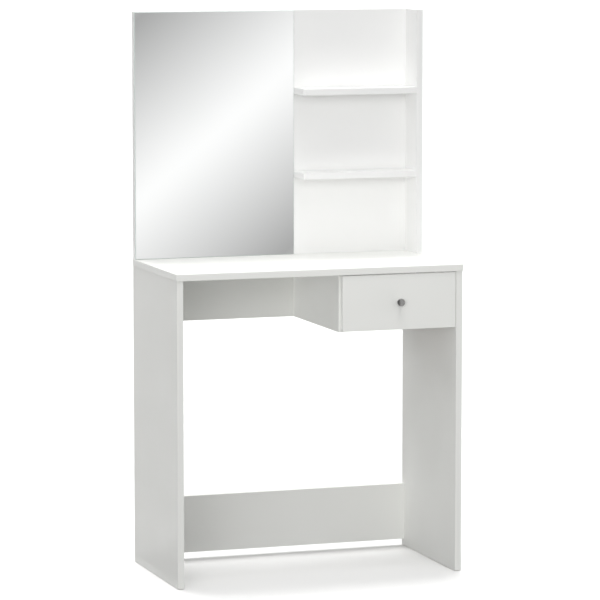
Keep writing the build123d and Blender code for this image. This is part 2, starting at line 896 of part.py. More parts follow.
with BuildPart() as cabinet_roller_rivets:
    with Locations(
        Plane(origin=cabinet_rivet_points[0], z_dir=left),
        Plane(origin=cabinet_rivet_points[1], z_dir=right),
    ):
        add(rivet)
write(cabinet_roller_rivets, "cabinet_roller_rivets")

with BuildPart() as drawer_roller_rivets:
    with Locations(
        Plane(origin=drawer_rivet_points[0], z_dir=right),
        Plane(origin=drawer_rivet_points[1], z_dir=left),
    ):
        add(rivet)
write(drawer_roller_rivets, "drawer_roller_rivets")

# ---------------------------------------------------------------- fasteners

runner_screw_sizes = (runner_screw_head_radius, 0.0, runner_screw_head, runner_screw_radius)
cabinet_screw = screw(*runner_screw_sizes, cabinet_screw_depth + sheet)
drawer_screw = screw(*runner_screw_sizes, drawer_screw_depth + sheet)
cabinet_heads_right = [along(point, left, sheet) for point in cabinet_screws_right]
cabinet_heads_left = [along(point, right, sheet) for point in cabinet_screws_left]
drawer_heads_right = [along(point, right, sheet) for point in drawer_runner_screws_right]
drawer_heads_left = [(2 * bay_middle - point.X, point.Y, point.Z) for point in drawer_heads_right]

with BuildPart() as cabinet_runner_screws:
    with Locations(*surface_planes(cabinet_heads_right, left), *surface_planes(cabinet_heads_left, right)):
        add(cabinet_screw)
write(cabinet_runner_screws, "cabinet_runner_screws")

with BuildPart() as drawer_runner_screws:
    with Locations(*surface_planes(drawer_heads_right, right), *surface_planes(drawer_heads_left, left)):
        add(drawer_screw)
write(drawer_runner_screws, "drawer_runner_screws")

top_joints = left_top_joints + right_top_joints + partition_top_joints
rail_joints = left_rail_joints + right_rail_joints
fixed_joints = top_joints + rail_joints + board_foot_joints + board_side_joints
standard_bolt = cam_bolt(cam_reach, bolt_bore)
standard_cam = cam_lock(cam_radius, cam_depth, bolt_bore, board)
drawer_bolt = cam_bolt(small_cam_reach, small_bolt_bore)
drawer_cam = cam_lock(small_cam_radius, small_cam_depth, small_bolt_bore, box_side)

with BuildPart() as cam_bolts:
    with Locations(*bolt_planes(fixed_joints)):
        add(standard_bolt)
write(cam_bolts, "cam_bolts")

with BuildPart() as cam_locks:
    with Locations(*cam_planes(fixed_joints)):
        add(standard_cam)
write(cam_locks, "cam_locks")

drawer_joints = drawer_joints_left + drawer_joints_right

with BuildPart() as drawer_cam_bolts:
    with Locations(*bolt_planes(drawer_joints)):
        add(drawer_bolt)
write(drawer_cam_bolts, "drawer_cam_bolts")

with BuildPart() as drawer_cam_locks:
    with Locations(*cam_planes(drawer_joints, small_cam_reach, box_side)):
        add(drawer_cam)
write(drawer_cam_locks, "drawer_cam_locks")

standard_dowel = dowel(dowel_radius, dowel_length)
drawer_dowel = dowel(small_dowel_radius, small_dowel_length)
all_dowel_planes = [
    *dowel_planes(left_top_dowels + right_top_dowels + partition_top_dowels, down),
    *dowel_planes(left_rail_dowels, right),
    *dowel_planes(right_rail_dowels + board_side_dowels + shelf_dowels[0] + shelf_dowels[1], left),
    *dowel_planes(board_foot_dowels + side_foot_dowels, up),
]

with BuildPart() as wood_dowels:
    with Locations(*all_dowel_planes):
        add(standard_dowel)
write(wood_dowels, "wood_dowels")

drawer_dowel_middle = small_dowel_length / 2 - dowel_in_face
drawer_dowel_points = [
    along(point, back, drawer_dowel_middle) for point in drawer_dowels_left + drawer_dowels_right
]

with BuildPart() as drawer_dowels:
    with Locations(*surface_planes(drawer_dowel_points, back)):
        add(drawer_dowel)
write(drawer_dowels, "drawer_dowels")

head_low = head_sink - confirmat_head
confirmat = screw(
    confirmat_head_radius - fit, head_low, -head_sink, confirmat_radius - fit, confirmat_length
)
box_screw = screw(
    box_screw_head_radius - fit, head_low, -head_sink, box_screw_radius - fit, box_screw_length
)

with BuildPart() as confirmat_screws:
    with Locations(*surface_planes(partition_screws + shelf_screws[0] + shelf_screws[1], back)):
        add(confirmat)
write(confirmat_screws, "confirmat_screws")

with BuildPart() as drawer_back_screws:
    with Locations(*surface_planes(box_screws_right, right), *surface_planes(box_screws_left, left)):
        add(box_screw)
write(drawer_back_screws, "drawer_back_screws")

cap_centres = [cam_centre(joint, cam_reach, board) for joint in left_top_joints]

with BuildPart() as cam_cover_caps:
    with Locations(*surface_planes(cap_centres, right)):
        Cylinder(cap_radius, cap_thickness, align=(Align.CENTER, Align.CENTER, Align.MIN))
    chamfer(cam_cover_caps.edges().group_by(Axis.X)[-1], cap_thickness / 2)
write(cam_cover_caps, "cam_cover_caps")

# ---------------------------------------------------------------- floor glides

glide_outline = [
    (0, -glide_height),
    (glide_radius - glide_chamfer, -glide_height),
    (glide_radius, glide_chamfer - glide_height),
    (glide_radius, 0),
    (glide_nail_radius, 0),
    (glide_nail_radius, glide_nail - glide_nail_tip),
    (0, glide_nail),
]
glide = turned(glide_outline)

with BuildPart() as floor_glides:
    with Locations(*surface_planes(glide_points, up)):
        add(glide)
write(floor_glides, "floor_glides")
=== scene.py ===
import math
from typing import NamedTuple

import bmesh
import bpy
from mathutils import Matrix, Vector


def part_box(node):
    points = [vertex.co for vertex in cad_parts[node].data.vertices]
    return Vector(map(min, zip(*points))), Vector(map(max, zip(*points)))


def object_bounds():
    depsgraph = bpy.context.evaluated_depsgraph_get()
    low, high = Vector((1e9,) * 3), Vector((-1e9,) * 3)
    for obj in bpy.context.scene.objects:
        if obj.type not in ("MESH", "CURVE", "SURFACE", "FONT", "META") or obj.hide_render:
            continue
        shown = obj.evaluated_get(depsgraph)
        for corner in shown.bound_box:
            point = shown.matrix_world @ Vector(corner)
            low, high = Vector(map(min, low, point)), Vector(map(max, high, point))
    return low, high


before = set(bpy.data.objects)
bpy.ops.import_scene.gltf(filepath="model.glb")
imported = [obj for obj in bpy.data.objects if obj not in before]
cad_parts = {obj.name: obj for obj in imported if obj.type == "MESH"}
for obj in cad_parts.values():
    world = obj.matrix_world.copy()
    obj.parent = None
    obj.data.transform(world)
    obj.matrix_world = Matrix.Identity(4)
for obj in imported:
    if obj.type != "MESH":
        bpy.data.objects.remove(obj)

# The looks of a vanity table: white melamine boards, edge bands, a frameless mirror, a satin metal knob, and
# the drawer's runners and fittings. Metres, in the frame's own axes: +X to the right, -Y the front, +Z up.

cad_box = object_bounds()
MM = 0.001

# ---------------------------------------------------------------- camera, light and stage values

CAMERA_AZIMUTH = math.radians(-18.83)  # 0 looks along +Y, and a negative angle stands to the left
CAMERA_ELEVATION = math.radians(6.74)
CAMERA_DISTANCE = 8.49
CAMERA_LENS = 207.3
CAMERA_SENSOR = 36.0
CAMERA_REACH = 200.0  # the farthest that it sees
AIM_RIGHT = 0.0057  # the point looked at, from the middle of the model's base
AIM_UP = 0.6658

# What the room adds to matt surfaces from above and from below, where it stands for the floor's glow
ROOM_ABOVE = 0.60
ROOM_BELOW = 0.155
BACKDROP_RADIUS = 50.0
BACKDROP_SUBDIVISIONS = 5
FLOOR_SIZE = 120.0
FLOOR_COLOUR = (0.93, 0.93, 0.925)
FLOOR_CLOUD = 0.99  # the shade of the floor's clouds


class Sun(NamedTuple):
    """A soft distant light: the place that it comes from and its width, in degrees, and its strength."""

    azimuth: float
    elevation: float
    strength: float
    width: float


SUNS = {
    "low_left_light": Sun(-38, 4, 0.45, 30),
    "low_front_light": Sun(-20, 4, 0.48, 30),
    "high_front_light": Sun(-15, 72, 0.8, 20),
    "high_back_light": Sun(180, 78, 1.5, 20),
    "back_light": Sun(180, 49, 0.3, 60),
    "low_back_light": Sun(125, 10, 0.65, 30),
}

# A soft lamp in front of the shelves, aimed at them
LAMP_PLACE = Vector((-0.3, -1.8, 1.5))
LAMP_AIM = Vector((0.1, 0.1, 1.15))
LAMP_POWER = 0.6
LAMP_SIZE = 0.8
LAMP_SPREAD = math.radians(60.0)

# The reflection card stands in front and runs along the floor to the table, where the camera sees it only in
# the mirror. Slanting bands of light on it fade evenly to both sides.
CARD_AWAY = 3.0
CARD_SIZE = (9.0, 5.0)
CARD_LIFT = 0.02
BAND_SLOPE = math.radians(39.0)
BAND_CENTRE = (0.90, 0.82)  # across and up
BAND_REACH = 0.49
BAND_STRETCH = 0.35  # along the floor the bands are longer
BAND_BRIGHT = 1.085
BAND_DARK = 0.43
BAND_CREST = 1.06  # the brightest that a band gets, with its crest rounded off below this
BAND_ROUNDING = 0.1

# A small dark sheet stands beside the knob, at its left, where only the knob sees it: it paints shade into
# that side of the knob
FLAG_BESIDE = 0.0025
FLAG_REACH = 0.08
FLAG_HALF_HEIGHT = 0.03
FLAG_SEEN_WITHIN = 0.1
FLAG_BLACKS = ((0.01, 0.01, 0.01, 1), (0.02, 0.02, 0.02, 1))

# ---------------------------------------------------------------- node helpers

GLOSS_IOR = 1.5
NOISE_LOW = 0.3  # nearly all of a noise lies between these two
NOISE_HIGH = 0.7
FACE_STARTS = 0.4  # a normal's part along an axis from which its face starts to look along it, and fully does
FACE_FULL = 0.6
EDGE_STARTS = 0.99  # the largest part of a rounded normal where an edge starts to count, and where it is full
EDGE_FULL = 0.75


class Finish:
    """A material under construction, with short ways to add and join its nodes."""

    def __init__(self, name, metallic=0.0, specular=0.5):
        self.material = bpy.data.materials.new(name)
        self.material.use_nodes = True
        self.tree = self.material.node_tree
        self.shader = self.tree.nodes["Principled BSDF"]
        self.shader.inputs["Metallic"].default_value = metallic
        self.shader.inputs["Specular IOR Level"].default_value = specular
        self.shader.inputs["IOR"].default_value = GLOSS_IOR
        self.place = self.tree.nodes.new("ShaderNodeTexCoord").outputs["Object"]

    def join(self, value, socket):
        """Give a socket a value, or link it to another node's output."""
        if isinstance(value, bpy.types.NodeSocket):
            self.tree.links.new(value, socket)
        else:
            socket.default_value = value

    def math(self, operation, *values):
        """One arithmetic step on a few numbers."""
        node = self.tree.nodes.new("ShaderNodeMath")
        node.operation = operation
        for socket, value in zip(node.inputs, values):
            self.join(value, socket)
        return node.outputs[0]

    def rest(self, share):
        """What a share leaves of 1."""
        return self.math("SUBTRACT", 1.0, share)

    def span(self, value, low, high, to_low=0.0, to_high=1.0):
        """A number's range mapped smoothly onto another range."""
        node = self.tree.nodes.new("ShaderNodeMapRange")
        node.interpolation_type = "SMOOTHSTEP"
        for socket, given in zip(node.inputs, (value, low, high, to_low, to_high)):
            self.join(given, socket)
        return node.outputs[0]

    def spread(self, noise, to_low, to_high):
        """A noise mapped onto a range."""
        return self.span(noise, NOISE_LOW, NOISE_HIGH, to_low, to_high)

    def blend(self, share, first, second):
        """A colour between two colours."""
        node = self.tree.nodes.new("ShaderNodeMix")
        node.data_type = "RGBA"
        sockets = (node.inputs[0], node.inputs[6], node.inputs[7])
        for socket, given in zip(sockets, (share, first, second)):
            self.join(given, socket)
        return node.outputs[2]

    def stretched(self, scale):
        """Object coordinates stretched by a factor along each axis."""
        node = self.tree.nodes.new("ShaderNodeMapping")
        node.vector_type = "POINT"
        self.join(self.place, node.inputs["Vector"])
        node.inputs["Scale"].default_value = scale
        return node.outputs[0]

    def noise(self, size, detail=2.0, place=None):
        """Noise with features of about the given size in metres, from 0 to 1."""
        node = self.tree.nodes.new("ShaderNodeTexNoise")
        self.join(place or self.place, node.inputs["Vector"])
        node.inputs["Scale"].default_value = 1.0 / size
        node.inputs["Detail"].default_value = detail
        return node.outputs["Fac"]

    def cells(self, size):
        """Random cells of about the given size in metres: the distance from each centre, and random tones."""
        node = self.tree.nodes.new("ShaderNodeTexVoronoi")
        self.join(self.place, node.inputs["Vector"])
        node.inputs["Scale"].default_value = 1.0 / size
        return node.outputs["Distance"], self.parts(node.outputs["Color"])

    def parts(self, vector):
        """The X, Y and Z of a vector."""
        node = self.tree.nodes.new("ShaderNodeSeparateXYZ")
        self.join(vector, node.inputs[0])
        return node.outputs

    def normal(self):
        """The X, Y and Z of the surface's own normal."""
        return self.parts(self.tree.nodes.new("ShaderNodeNewGeometry").outputs["Normal"])

    def facing(self, axis):
        """1 on faces that look along an axis (0, 1 or 2), either way, and 0 on the others."""
        return self.span(self.math("ABSOLUTE", self.normal()[axis]), FACE_STARTS, FACE_FULL)

    def edges(self, radius):
        """1 on sharp edges that run along an axis, falling to 0 a radius away from them."""
        bevel = self.tree.nodes.new("ShaderNodeBevel")
        bevel.inputs["Radius"].default_value = radius
        sizes = [self.math("ABSOLUTE", part) for part in self.parts(bevel.outputs[0])]
        largest = self.math("MAXIMUM", self.math("MAXIMUM", sizes[0], sizes[1]), sizes[2])
        return self.span(largest, EDGE_STARTS, EDGE_FULL)

    def wear(self, colour, worn, radius, share):
        """A colour with a share of another one on its edges, within a radius in metres."""
        return self.blend(self.math("MULTIPLY", self.edges(radius), share), colour, worn)

    def bump(self, *layers):
        """Bump from pairs of height and depth in metres, laid over each other."""
        below = None
        for height, depth in layers:
            node = self.tree.nodes.new("ShaderNodeBump")
            node.inputs["Distance"].default_value = depth
            self.join(height, node.inputs["Height"])
            if below:
                self.join(below, node.inputs["Normal"])
            below = node.outputs[0]
        self.join(below, self.shader.inputs["Normal"])

    def complete(self, colour, roughness):
        """Set the two sockets that every finish has, and return the material."""
        self.join(colour, self.shader.inputs["Base Color"])
        self.join(roughness, self.shader.inputs["Roughness"])
        return self.material

    def show(self, shader):
        """Show another shader in place of the first one, and return the material."""
        self.join(shader, self.tree.nodes["Material Output"].inputs["Surface"])
        return self.material

    def glow(self, strength=1.0):
        """Make it a white light, and return the material."""
        light = self.tree.nodes.new("ShaderNodeEmission")
        self.join(strength, light.inputs["Strength"])
        return self.show(light.outputs[0])


# ---------------------------------------------------------------- finishes

# The two units' boards are one white melamine in two copies, for light and for shade: a neutral one above the
# desktop, where full light washes out its tint, and a warmer one below, where the shade shows its tint
UPPER_WHITES = ((0.868, 0.869, 0.860, 1), (0.888, 0.889, 0.881, 1))
DESK_WHITES = ((0.865, 0.870, 0.838, 1), (0.885, 0.890, 0.862, 1))
MELAMINE_SPECK = (0.80, 0.80, 0.775, 1)
MELAMINE_WORN = (0.66, 0.62, 0.54, 1)
CHIP_BROWNS = ((0.36, 0.23, 0.12, 1), (0.66, 0.50, 0.32, 1))
CHIP_DARK = (0.30, 0.19, 0.10, 1)


def melamine(unit, whites, axis):
    """White melamine-faced chipboard, its thickness along one axis (0, 1 or 2) and its cut edges raw."""
    finish = Finish(unit + "_melamine_" + "xyz"[axis], specular=0.4)
    coated = finish.facing(axis)
    raw = finish.rest(coated)
    specks = finish.span(finish.noise(0.7 * MM, detail=1.0), 0.35, 0.75, to_high=0.12)
    white = finish.blend(finish.noise(350 * MM, detail=3.0), *whites)
    white = finish.blend(specks, white, MELAMINE_SPECK)
    white = finish.wear(white, MELAMINE_WORN, radius=0.5 * MM, share=0.35)
    coarse_distance, coarse_tones = finish.cells(2.2 * MM)
    fine_distance, fine_tones = finish.cells(0.8 * MM)
    chips = finish.blend(coarse_tones[0], *CHIP_BROWNS)
    chips = finish.blend(finish.math("MULTIPLY", fine_tones[1], 0.5), chips, CHIP_DARK)
    pores = finish.math("ADD", coarse_distance, finish.math("MULTIPLY", fine_distance, 0.5))
    peel = finish.math("MULTIPLY", finish.noise(1.6 * MM), coated)
    finish.bump((peel, 0.02 * MM), (finish.math("MULTIPLY", pores, raw), 0.35 * MM))
    handled = finish.spread(finish.noise(90 * MM, detail=4.0), 0.40, 0.50)
    roughness = finish.math("MAXIMUM", handled, finish.math("MULTIPLY", raw, 0.9))
    return finish.complete(finish.blend(raw, white, chips), roughness)


BAND_WORN = (0.70, 0.69, 0.66, 1)


def edge_band(unit, whites):
    """White plastic edge band: a little smoother than the boards, with fine lines and a rubbed arris."""
    finish = Finish(unit + "_edge_band", specular=0.45)
    arris = finish.edges(0.8 * MM)
    scuffs = finish.noise(6 * MM, detail=4.0)
    rubbed = finish.math("MULTIPLY", arris, finish.span(scuffs, 0.45, 0.75, to_high=0.5))
    white = finish.blend(finish.noise(200 * MM), *whites)
    lines = finish.noise(0.5 * MM, place=finish.stretched((1, 1, 0.02)))
    finish.bump((lines, 0.008 * MM), (finish.noise(2.5 * MM), 0.012 * MM))
    roughness = finish.math("ADD", finish.spread(scuffs, 0.34, 0.42), finish.math("MULTIPLY", arris, 0.08))
    return finish.complete(finish.blend(rubbed, white, BAND_WORN), roughness)


SILVERS = ((0.925, 0.935, 0.93, 1), (0.945, 0.95, 0.948, 1))
GROUND_GREENS = ((0.52, 0.60, 0.57, 1), (0.66, 0.73, 0.70, 1))


def mirror_glass():
    """Silvered glass: a mirror from the front, and greenish ground glass on its other faces."""
    finish = Finish("silvered_glass", metallic=1.0)
    forward = finish.math("MULTIPLY", finish.normal()[1], -1.0)
    silver = finish.span(forward, 0.9, 0.99)
    haze = finish.noise(120 * MM, detail=4.0)
    grind = finish.noise(0.3 * MM)
    reflecting = finish.blend(haze, *SILVERS)
    ground = finish.blend(grind, *GROUND_GREENS)
    polished = finish.span(haze, 0.3, 0.8, 0.004, 0.016)
    roughness = finish.math("MAXIMUM", polished, finish.span(silver, 0.0, 1.0, 0.35, 0.0))
    finish.join(finish.span(silver, 0.0, 1.0, to_low=0.15), finish.shader.inputs["Metallic"])
    finish.bump((finish.math("MULTIPLY", grind, finish.rest(silver)), 0.02 * MM))
    return finish.complete(finish.blend(silver, ground, reflecting), roughness)


FOAM_WHITES = ((0.70, 0.70, 0.68, 1), (0.82, 0.82, 0.80, 1))
FOAM_WORN = (0.60, 0.60, 0.58, 1)


def foam():
    """White foam tape with fine open pores."""
    finish = Finish("foam_tape", specular=0.2)
    distance, tones = finish.cells(0.5 * MM)
    colour = finish.blend(tones[0], *FOAM_WHITES)
    colour = finish.wear(colour, FOAM_WORN, radius=0.4 * MM, share=0.4)
    finish.bump((distance, 0.12 * MM))
    return finish.complete(colour, roughness=finish.spread(finish.noise(4 * MM), 0.85, 0.98))


CAST_GREYS = ((0.40, 0.41, 0.43, 1), (0.60, 0.61, 0.63, 1))
CAST_RUBBED = (0.74, 0.75, 0.76, 1)


def cast_zinc():
    """Die-cast zinc alloy: a grey mottled skin, brighter where its edges are rubbed."""
    finish = Finish("cast_zinc", metallic=1.0)
    mottle = finish.noise(1.5 * MM, detail=5.0)
    colour = finish.blend(mottle, *CAST_GREYS)
    colour = finish.wear(colour, CAST_RUBBED, radius=0.3 * MM, share=0.6)
    finish.bump((finish.noise(0.25 * MM, detail=3.0), 0.03 * MM))
    return finish.complete(colour, roughness=finish.spread(mottle, 0.38, 0.55))


PLATE_GREYS = ((0.60, 0.62, 0.66, 1), (0.76, 0.77, 0.79, 1))
PLATE_RUBBED = (0.88, 0.88, 0.88, 1)


def zinc_plate():
    """Bright zinc-plated steel: a bluish grey with faint cloudy stains and polished edges."""
    finish = Finish("zinc_plate", metallic=1.0)
    stain = finish.noise(2.5 * MM, detail=4.0)
    colour = finish.blend(stain, *PLATE_GREYS)
    colour = finish.wear(colour, PLATE_RUBBED, radius=0.2 * MM, share=0.5)
    finish.bump((finish.noise(0.2 * MM), 0.01 * MM))
    return finish.complete(colour, roughness=finish.spread(stain, 0.22, 0.36))


BEECH_BROWNS = ((0.58, 0.36, 0.20, 1), (0.74, 0.52, 0.33, 1))
BEECH_FLECK = (0.36, 0.19, 0.10, 1)
BEECH_RUBBED = (0.80, 0.62, 0.44, 1)


def beech():
    """Steamed beech: pink-brown wood with short dark flecks."""
    finish = Finish("beech", specular=0.3)
    along_grain = finish.stretched((0.15, 1, 1))
    grain = finish.noise(0.8 * MM, detail=4.0, place=along_grain)
    flecks = finish.noise(0.35 * MM, detail=1.0, place=along_grain)
    colour = finish.blend(grain, *BEECH_BROWNS)
    colour = finish.blend(finish.span(flecks, 0.62, 0.75, to_high=0.6), colour, BEECH_FLECK)
    colour = finish.wear(colour, BEECH_RUBBED, radius=0.4 * MM, share=0.3)
    finish.bump((grain, 0.06 * MM))
    return finish.complete(colour, roughness=finish.spread(grain, 0.60, 0.75))


CAP_WHITES = ((0.79, 0.79, 0.77, 1), (0.84, 0.84, 0.82, 1))
NYLON_WHITES = ((0.72, 0.71, 0.66, 1), (0.80, 0.79, 0.74, 1))


def moulded_plastic(name, whites, smooth, rough):
    """Injection-moulded plastic: an even colour with faint flow marks and a fine spark-eroded skin."""
    finish = Finish(name)
    flow = finish.noise(9 * MM, detail=3.0, place=finish.stretched((1, 0.4, 1)))
    colour = finish.blend(flow, *whites)
    colour = finish.wear(colour, whites[1], radius=0.3 * MM, share=0.3)
    finish.bump((finish.noise(0.18 * MM, detail=1.0), 0.01 * MM))
    return finish.complete(colour, roughness=finish.spread(flow, smooth, rough))


COAT_WHITES = ((0.78, 0.78, 0.76, 1), (0.83, 0.83, 0.815, 1))
COAT_WORN = (0.55, 0.55, 0.54, 1)


def powder_coat():
    """White epoxy powder coat on steel: orange peel, and thin worn places on the bends."""
    finish = Finish("powder_coat")
    scuffs = finish.noise(3 * MM, detail=5.0)
    worn = finish.math("MULTIPLY", finish.edges(0.4 * MM), finish.span(scuffs, 0.5, 0.7, to_high=0.7))
    white = finish.blend(finish.noise(50 * MM), *COAT_WHITES)
    finish.bump((finish.noise(1.1 * MM), 0.04 * MM))
    colour = finish.blend(worn, white, COAT_WORN)
    return finish.complete(colour, roughness=finish.spread(scuffs, 0.30, 0.42))


FOIL_WHITES = ((0.76, 0.76, 0.74, 1), (0.81, 0.81, 0.79, 1))
FOIL_PORE = (0.66, 0.66, 0.63, 1)
FOIL_WORN = (0.62, 0.58, 0.50, 1)
FOIL_CHIP_BROWNS = ((0.38, 0.25, 0.14, 1), (0.62, 0.46, 0.29, 1))


def foiled_board(axis):
    """A drawer board that runs along one axis (0 or 1): white paper foil with a pore print, and raw ends."""
    finish = Finish("foiled_board_" + "xy"[axis], specular=0.3)
    ends = finish.facing(axis)
    along_board = finish.stretched(((0.04, 1, 1), (1, 0.04, 1))[axis])
    pores = finish.noise(0.5 * MM, place=along_board)
    cloud = finish.noise(150 * MM)
    white = finish.blend(cloud, *FOIL_WHITES)
    white = finish.blend(finish.span(pores, 0.6, 0.75, to_high=0.25), white, FOIL_PORE)
    white = finish.wear(white, FOIL_WORN, radius=0.5 * MM, share=0.25)
    distance, tones = finish.cells(0.9 * MM)
    chips = finish.blend(tones[0], *FOIL_CHIP_BROWNS)
    finish.bump((pores, 0.015 * MM), (finish.math("MULTIPLY", distance, ends), 0.3 * MM))
    smooth = finish.spread(cloud, 0.48, 0.58)
    roughness = finish.math("MAXIMUM", smooth, finish.math("MULTIPLY", ends, 0.9))
    return finish.complete(finish.blend(ends, white, chips), roughness)


LACQUER_WHITES = ((0.77, 0.77, 0.75, 1), (0.82, 0.82, 0.80, 1))
FIBRE_BROWNS = ((0.16, 0.09, 0.045, 1), (0.34, 0.20, 0.10, 1))
FIBRE_WORN = (0.42, 0.28, 0.16, 1)
MESH_MARKS = 4000.0  # radians for each metre across the marks, which are 1.6 mm apart


def hardboard():
    """Thin hardboard: white lacquer on its upper face, brown felted fibre with mesh marks below."""
    finish = Finish("hardboard", specular=0.3)
    upward = finish.span(finish.normal()[2], FACE_STARTS, FACE_FULL)
    fibre = finish.noise(0.6 * MM, detail=5.0)
    x, y, _ = finish.parts(finish.place)
    waves = [finish.math("SINE", finish.math("MULTIPLY", part, MESH_MARKS)) for part in (x, y)]
    marks = finish.math("MULTIPLY", *waves)
    lacquer = finish.blend(finish.noise(100 * MM), *LACQUER_WHITES)
    brown = finish.blend(fibre, *FIBRE_BROWNS)
    brown = finish.wear(brown, FIBRE_WORN, radius=0.5 * MM, share=0.4)
    finish.bump((fibre, 0.02 * MM), (finish.math("MULTIPLY", marks, finish.rest(upward)), 0.06 * MM))
    colour = finish.blend(upward, brown, lacquer)
    return finish.complete(colour, roughness=finish.span(upward, 0.0, 1.0, 0.85, 0.42))


NICKEL_GREYS = ((0.27, 0.268, 0.262, 1), (0.36, 0.357, 0.35, 1))


def satin_metal():
    """Satin nickel on the turned knob: fine rings about its axis, and cloudy tones."""
    low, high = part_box("drawer_knob")
    middle = (low + high) / 2
    finish = Finish("satin_metal", metallic=1.0)
    x, y, z = finish.parts(finish.place)
    across = finish.math("SUBTRACT", x, middle.x)
    above = finish.math("SUBTRACT", z, middle.z)
    squares = [finish.math("MULTIPLY", side, side) for side in (across, above)]
    turning = finish.tree.nodes.new("ShaderNodeCombineXYZ")
    finish.join(finish.math("SQRT", finish.math("ADD", *squares)), turning.inputs[0])
    finish.join(y, turning.inputs[1])
    rings = finish.noise(0.12 * MM, place=turning.outputs[0])
    finish.bump((rings, 0.01 * MM))
    colour = finish.blend(finish.noise(4 * MM, detail=3.0), *NICKEL_GREYS)
    return finish.complete(colour, roughness=finish.spread(rings, 0.26, 0.38))


# ---------------------------------------------------------------- finishes on the CAD nodes

# The boards of each unit, in order of the axis that their thickness runs along
DESK_BOARDS = (
    ("left_side_panel", "right_side_panel", "drawer_partition"),
    ("upper_back_rail", "lower_back_rail", "drawer_front"),
    ("desktop",),
)
UPPER_BOARDS = (("upper_side_panel",), ("mirror_board",), ("upper_shelf", "lower_shelf"))
UPPER_BANDS = ("mirror_board_edge_bands", "upper_side_edge_bands", "shelf_edge_bands")
FITTINGS_OF_STEEL = (
    "cam_bolts", "confirmat_screws", "drawer_cam_bolts", "drawer_back_screws", "knob_screw",
    "cabinet_runner_screws", "drawer_runner_screws", "cabinet_roller_rivets", "drawer_roller_rivets",
)


def wear_finish(nodes, material):
    """Put one material on all the faces of some CAD nodes."""
    for name in nodes:
        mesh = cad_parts[name].data
        if not mesh.materials:
            mesh.materials.append(material)
        for slot in range(len(mesh.materials)):
            mesh.materials[slot] = material


def dress_boards():
    """Give the boards and their edge bands their finishes."""
    for unit, whites, boards in (("desk", DESK_WHITES, DESK_BOARDS), ("upper", UPPER_WHITES, UPPER_BOARDS)):
        for axis, nodes in enumerate(boards):
            wear_finish(nodes, melamine(unit, whites, axis))
    desk_bands = [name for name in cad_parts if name.endswith("_edge_bands") and name not in UPPER_BANDS]
    wear_finish(desk_bands, edge_band("desk", DESK_WHITES))
    wear_finish(UPPER_BANDS, edge_band("upper", UPPER_WHITES))


def dress_runners():
    """Give the runners and their rollers their finishes."""
    others = [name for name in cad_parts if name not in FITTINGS_OF_STEEL]
    wear_finish([name for name in others if "_runner_" in name], powder_coat())
    nylon = moulded_plastic("roller_nylon", NYLON_WHITES, 0.32, 0.45)
    wear_finish([name for name in others if "_roller_" in name], nylon)


def dress_cad_nodes():
    """Give every CAD node its finish."""
    dress_boards()
    dress_runners()
    wear_finish(["mirror_glass"], mirror_glass())
    wear_finish(["mirror_adhesive_pads"], foam())
    wear_finish(["cam_locks", "drawer_cam_locks"], cast_zinc())
    wear_finish(FITTINGS_OF_STEEL, zinc_plate())
    wear_finish(["wood_dowels", "drawer_dowels"], beech())
    wear_finish(["cam_cover_caps", "floor_glides"], moulded_plastic("cap_plastic", CAP_WHITES, 0.30, 0.40))
    wear_finish(["drawer_back"], foiled_board(0))
    wear_finish(["drawer_side_left", "drawer_side_right"], foiled_board(1))
    wear_finish(["drawer_bottom"], hardboard())
    wear_finish(["drawer_knob"], satin_metal())


# ---------------------------------------------------------------- stage


def mesh_in_scene(name, mesh, material):
    """A mesh in the scene as an object of one material."""
    mesh.materials.append(material)
    piece = bpy.data.objects.new(name, mesh)
    bpy.context.scene.collection.objects.link(piece)
    return piece


def staged_sheet(name, rows, material):
    """A staged sheet that runs through rows of two corners each."""
    corners = [corner for row in rows for corner in row]
    faces = [(first, first + 1, first + 3, first + 2) for first in range(0, len(corners) - 2, 2)]
    mesh = bpy.data.meshes.new(name)
    mesh.from_pydata(corners, [], faces)
    sheet = mesh_in_scene(name, mesh, material)
    return sheet


def show_only(sheet, camera):
    """Let reflections see a staged sheet, and the camera or not, without lighting or shading anything."""
    sheet.visible_camera = camera
    sheet.visible_diffuse = False
    sheet.visible_transmission = False
    sheet.visible_shadow = False


def add_floor():
    """A wide pale floor under the glides. The room's lower half gives its glow, so it adds none itself."""
    finish = Finish("floor_paint", specular=0.2)
    cloud_colour = [FLOOR_CLOUD * part for part in FLOOR_COLOUR]
    colour = finish.blend(finish.noise(0.8), (*cloud_colour, 1), (*FLOOR_COLOUR, 1))
    half = FLOOR_SIZE / 2
    rows = [[(side, end, 0) for side in (-half, half)] for end in (-half, half)]
    floor = staged_sheet("floor", rows, finish.complete(colour, roughness=0.9))
    floor.visible_diffuse = False
    floor.visible_shadow = False


def add_backdrop():
    """A white dome round the floor."""
    mesh = bpy.data.meshes.new("backdrop")
    dome = bmesh.new()
    bmesh.ops.create_icosphere(dome, subdivisions=BACKDROP_SUBDIVISIONS, radius=BACKDROP_RADIUS)
    dome.to_mesh(mesh)
    dome.free()
    backdrop = mesh_in_scene("backdrop", mesh, Finish("backdrop_light").glow())
    show_only(backdrop, camera=True)


